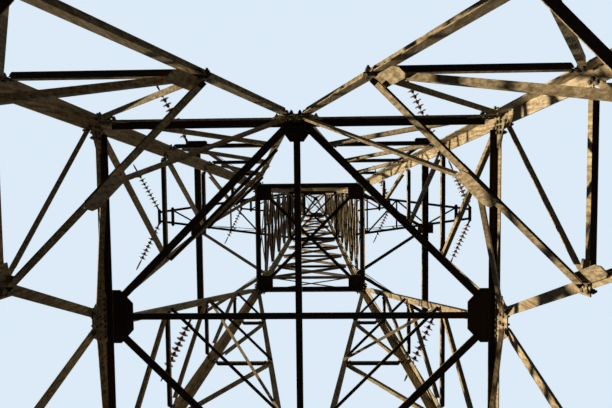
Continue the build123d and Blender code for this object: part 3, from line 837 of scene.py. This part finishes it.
def hip_plates(hips, toes):
    """The two sloping plates where the hip tie meets the diagonals."""
    plates = []
    for hip, toe, far_hip in zip(hips, toes, hips[::-1]):
        down = (toe - hip).normalized()
        across = (far_hip - hip).normalized()
        facing = across.cross(down).normalized()
        facing = facing if facing.z < 0 else -facing
        seat = hip - down * hip_plate_up + facing * plate_gap
        plates.append(slab(seat, down * hip_plate_length, across * hip_plate_width,
                           facing * gusset_thick))
    return plates


def leaning_pair(hips, strut_nodes, inward):
    """The leaning bar of the hip tie, and the leaning plate at its middle."""
    climb = strut_nodes[0] + strut_nodes[1] - hips[0] - hips[1]
    along = (hips[1] - hips[0]).normalized()
    rise = (climb - along * climb.dot(along)).normalized()
    level_in = Vector((inward.x, inward.y, 0)).normalized()
    behind = rise.cross(along).normalized()
    behind = behind if behind.z > 0 else -behind
    edge = level_in * hip_tie_width - Vector((0, 0, leaning_gap))
    bar = flat_bar(hips[0] + edge + along * leaning_end_gap,
                   hips[1] + edge - along * leaning_end_gap,
                   -rise * leaning_width, behind * leaning_thick)
    length, depth, thick = leaning_plate
    seat = ((hips[0] + hips[1] - along * length) / 2 + level_in * plate_seat[0]
            - Vector((0, 0, plate_seat[1])))
    return bar, slab(seat, along * length, -rise * depth, behind * thick)


print("hip plates", round(1000 * hip_plate_length), "by", round(1000 * hip_plate_width), "mm")

# %% [markdown]
# All four corners are alike. Each lies between a side and the one before it, so the numbers
# of the sides lead round the tower, and one loop makes a piece of ties and a piece of plates
# for each corner.

# %% Corner ties and plates
corner_names = ("front_left", "front_right", "back_right", "back_left")
strut_seat_level = strut_level - 2 * strut_width - hip_tie_width
for number, corner_name in enumerate(corner_names):
    this, other = lower_sides[number], lower_sides[number - 1]
    inward = -(this.out + other.out)
    hips = corner_points(this, other, base_x(this, hip_level), hip_level)
    toes = corner_points(this, other, base_x(this, brace_foot_level), brace_foot_level)
    strut_nodes = corner_points(this, other, strut_node_x, strut_seat_level)
    leaning_bar, leaning_slab = leaning_pair(hips, strut_nodes, inward)
    ties = waist_ties(this, other, inward) + [leaning_bar]
    plates = [shoulder_slab(inward)] + hip_plates(hips, toes) + [leaning_slab]
    make_piece("corner_ties_" + corner_name, [ties], [steel_braces])
    make_piece("corner_plates_" + corner_name, [plates], [steel_legs])
print("corner ties:", 4 * len(ties), "plates:", 4 * len(plates))

# %% [markdown]
# The bars of the cage are light, so one bolt at each end is enough for them. The same
# function sets it, with a count of one.

# %% Bolts of the cage
for side_name, side in zip(side_names, upper_sides):
    shapes = []
    for start, end in cage_bars(side):
        shapes += bar_bolts(side, start, end, upper_leg_thick + brace_thick, 1)
    make_piece("cage_bolts_" + side_name, [shapes], [steel_fittings])
print("cage bolts on a side:", len(shapes))

# %% [markdown]
# Each foot is held down by four anchor bolts. The record gives them only as rectangles over
# all four feet, so an outer and an inner half spacing, used along both axes, place them all:
# a washer, a large nut and the end of the bolt.

# %% Anchor nuts
mounts = {mount["name"]: mount for mount in frame["record"]["mounts"]}
outer = mounts["anchors_outer"]["dims"]["spacing_x_mm"] / 2000
inner = mounts["anchors_inner"]["dims"]["spacing_x_mm"] / 2000
anchor_profiles = (
    (((0, 0.031), (0.004, 0.031)), 16),
    (((0.004, 0.027), (0.030, 0.027), (0.035, 0.023)), 6),
    (((0.030, 0.0145), (0.062, 0.0145), (0.066, 0.012)), 10),
)
anchor = merged([turned(profile, steps) for profile, steps in anchor_profiles])
upright = Matrix.Rotation(math.radians(-90), 4, "Y")
anchors = []
for x in (-outer, -inner, inner, outer):
    for y in (-outer, -inner, inner, outer):
        anchors.append(moved(anchor, Matrix.Translation((x, y, foot_level)) @ upright))
make_piece("anchor_nuts", [anchors], [steel_fittings])
print("anchors:", len(anchors))

# %% [markdown]
# A tension string is a chain of cap-and-pin discs. Each has an iron cap cemented on top, a
# porcelain shell with ribs under its rim that keep a dry path in rain, and a pin whose ball
# drops into the socket of the next cap. All of it is round, so three profiles turned about
# the string's axis make it, as on a potter's wheel.

# %% One disc
disc_pitch = 0.146
disc_steps = 28
shell_profile = (
    (0.044, 0.040), (0.049, 0.056), (0.054, 0.080), (0.061, 0.106), (0.067, 0.121),
    (0.073, 0.127), (0.079, 0.124), (0.075, 0.117), (0.073, 0.108), (0.090, 0.101),
    (0.090, 0.096), (0.071, 0.090), (0.069, 0.078), (0.090, 0.071), (0.090, 0.066),
    (0.068, 0.060), (0.066, 0.048), (0.088, 0.041), (0.088, 0.036), (0.065, 0.030),
    (0.064, 0.012),
)
cap_profile = (
    (-0.004, 0.016), (0.000, 0.027), (0.008, 0.033), (0.022, 0.035), (0.026, 0.042),
    (0.046, 0.046), (0.052, 0.044),
)
pin_profile = ((0.060, 0.019), (0.072, 0.010), (0.140, 0.009), (0.143, 0.015), (0.150, 0.015))
shell = turned(shell_profile, disc_steps)
metal = merged([turned(cap_profile, 16), turned(pin_profile, 10)])
print("corners of a shell:", len(shell[0]), "and of its cap and pin:", len(metal[0]))

# %% [markdown]
# A string starts with a flat link on a pin and ends with a tension clamp: a tapered casting
# with clips along it, each two threaded legs with nuts. They are small from anywhere, so
# plain turned and pushed shapes are enough.

# %% Link and clamp
link_length = 0.170
link_width = 0.060
link_thick = 0.012
round_steps = 8
clamp_length = 0.400
first_clip = 0.130
clip_pitch = 0.055
clip_count = 4
leg_spread = 0.016


def link():
    """A flat link with rounded ends, drawn with its upper face at the joint's level."""
    half = link_width / 2
    rim = []
    for centre, first in ((link_length - 2 * half, -90), (0, 90)):
        for step in range(round_steps + 1):
            angle = math.radians(first + 180 * step / round_steps)
            rim.append(Vector((centre + half * math.cos(angle), half * math.sin(angle), 0)))
    return prism(rim, Vector((0, 0, -link_thick)))


def u_bolt(distance):
    """One of the clamp's clips: two legs with nuts."""
    shapes = []
    for way in (-1, 1):
        leg = turned(((-0.030, 0.006), (0.030, 0.006)), 8)
        nut = turned(((0.018, 0.011), (0.029, 0.011)), 6)
        for shape in (leg, nut):
            place = Matrix.Translation((distance, way * leg_spread, 0))
            shapes.append(moved(shape, place @ Matrix.Rotation(math.radians(90), 4, "Y")))
    return merged(shapes)


body = turned(((-0.010, 0.010), (0.010, 0.016), (0.060, 0.022), (0.120, 0.026),
               (0.300, 0.024), (0.370, 0.018), (clamp_length, 0.013)), 16)
clips = [u_bolt(first_clip + clip_pitch * number) for number in range(clip_count)]
clamp = merged([body] + clips)
print("corners of a clamp:", len(clamp[0]))

# %% [markdown]
# At each arm end one string leaves forwards and one backwards, both turned towards the
# inside of the bend and dipping a little. Each pair is one piece that takes the place of the
# plain strings of the solids. Porcelain and metal are two groups of it, smooth where the
# profile is round and sharp at edges.

# %% The strings
disc_count = 9
string_turn = 26
string_dip = 7
bar_half_thick = 0.004
yoke_thick = 0.016
pin_inset = 0.055
long_arm_pin_y = 0.22
low_arm_rise = 0.7
smooth_under = 40
low_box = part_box("arm_low_left")
string_joints = {
    "low": (-low_box[0][0] - pin_inset, low_box[1][1] - pin_inset,
            waist_level + low_arm_rise - bar_half_thick - yoke_thick),
    "middle": (-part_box("arm_middle_left")[0][0] - pin_inset, long_arm_pin_y,
               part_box("arm_middle_left")[0][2]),
    "top": (-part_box("arm_top_left")[0][0] - pin_inset, long_arm_pin_y,
            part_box("arm_top_left")[0][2]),
}


def string_shapes(x, y, level, way):
    """Porcelain and metal of the front (way -1) or back (way 1) string at one joint."""
    heading = math.radians(way * (90 + string_turn))
    stand = Matrix.Translation((x, way * y, level)) @ Matrix.Rotation(heading, 4, "Z")
    hang = stand @ Matrix.Translation((link_length - link_width, 0, -link_thick / 2))
    hang = hang @ Matrix.Rotation(math.radians(string_dip), 4, "Y")
    porcelain, fittings = [], [moved(link(), stand)]
    for number in range(disc_count):
        place = hang @ Matrix.Translation((link_width / 2 + number * disc_pitch, 0, 0))
        porcelain.append(moved(shell, place))
        fittings.append(moved(metal, place))
    end = hang @ Matrix.Translation((link_width / 2 + disc_count * disc_pitch, 0, 0))
    fittings.append(moved(clamp, end))
    pin = moved(bolt(link_thick + yoke_thick), Matrix.Translation((0, 0, -link_thick)) @ upright)
    fittings.append(moved(pin, stand))
    return porcelain, fittings


for name, (x, y, level) in string_joints.items():
    for hand, side_way in (("left", -1), ("right", 1)):
        porcelain, fittings = [], []
        for way in (-1, 1):
            more_porcelain, more_fittings = string_shapes(side_way * x, y, level, way)
            porcelain += more_porcelain
            fittings += more_fittings
        piece = make_piece("insulators_" + name + "_" + hand, [porcelain, fittings],
                           [glaze, steel_fittings], smooth_under)
        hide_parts("strings_" + name + "_" + hand)
print("strings:", 4 * len(string_joints), "of", disc_count, "discs")

# %% [markdown]
# The surround is plain and pale, above and below. More light would make it pale as well, but
# it would also wash out the undersides. So both halves look pale to the camera and in
# reflections but give little light, and each bar keeps its dark and its bright faces.


# %% World
def seen_directly(tree):
    """1 for rays that come from the camera, a reflection or glass, and 0 for lighting rays."""
    rays = add(tree, "LightPath")
    first = add(tree, "Math", {0: rays.outputs["Is Camera Ray"],
                               1: rays.outputs["Is Glossy Ray"]}, operation="MAXIMUM")
    both = add(tree, "Math", {0: first.outputs[0],
                              1: rays.outputs["Is Transmission Ray"]}, operation="MAXIMUM")
    return both.outputs[0]


fill_strength = 0.10
world = bpy.data.worlds.new("pale_surround")
world.use_nodes = True
bpy.context.scene.world = world
surround = world.node_tree
fill = surround.nodes["Background"]
fill.inputs["Color"].default_value = linear("#dfe8f2")
fill.inputs["Strength"].default_value = fill_strength
seen = add(surround, "Background", {"Color": linear("#dcebf7"), "Strength": 1.0})
shown = seen_directly(surround)
mixed = add(surround, "MixShader", {0: shown, 1: fill.outputs[0], 2: seen.outputs[0]})
surround.links.new(mixed.outputs[0], surround.nodes["World Output"].inputs["Surface"])
print("fill strength:", fill_strength)

# %% [markdown]
# The floor is a flat disc, wide enough that its edge reads as a horizon. It glows a little
# to the camera so that it is as pale as the rest, and still takes the tower's shadow.

# %% Floor
floor_glow_strength = 0.40
floor_material, floor_tree, floor_shader = new_material("pale_floor")
floor_seen = seen_directly(floor_tree)
floor_colour = add(floor_tree, "Mix", {"Factor": floor_seen, "A": linear("#24221f"),
                                       "B": linear("#f4f4f2")}, data_type="RGBA")
floor_glow = add(floor_tree, "Math", {0: floor_seen, 1: floor_glow_strength},
                 operation="MULTIPLY")
floor_tree.links.new(floor_colour.outputs["Result"], floor_shader.inputs["Base Color"])
floor_tree.links.new(floor_glow.outputs[0], floor_shader.inputs["Emission Strength"])
floor_shader.inputs["Emission Color"].default_value = linear("#e6eefb")
floor_shader.inputs["Roughness"].default_value = 0.9
floor_shader.inputs["Specular IOR Level"].default_value = 0.0

floor_radius = 700.0
floor_steps = 96
floor_angles = [2 * math.pi * step / floor_steps for step in range(floor_steps)]
floor_rim = [(floor_radius * math.cos(angle), floor_radius * math.sin(angle), 0)
             for angle in floor_angles]
floor_mesh = bpy.data.meshes.new("floor")
floor_mesh.from_pydata(floor_rim, [], [tuple(range(floor_steps))])
floor_mesh.materials.append(floor_material)
floor = bpy.data.objects.new("floor", floor_mesh)
bpy.context.collection.objects.link(floor)
print("floor:", 2 * floor_radius, "m across")

# %% [markdown]
# The light itself is one warm, low key from the left, as late in the day. A sun lamp fits a
# thing this tall: its rays are parallel, so only its direction counts. They rake along the
# bars: the faces of one hand are bright, those of the other stay dark, and bars throw their
# shadows on each other.

# %% Key light
key_from = Vector((-1.0, 0.15, 0.22))
key_strength = 5.0
key = bpy.data.lights.new("key", "SUN")
key.color = linear("#ffe9c6")[:3]
key.energy = key_strength
key.angle = math.radians(1)
key_lamp = bpy.data.objects.new("key", key)
key_lamp.rotation_euler = key_from.to_track_quat("Z", "Y").to_euler()
bpy.context.collection.objects.link(key_lamp)

bpy.context.scene.view_settings.view_transform = "Standard"
print("key light from", [round(value, 2) for value in key_from], "strength", key_strength)
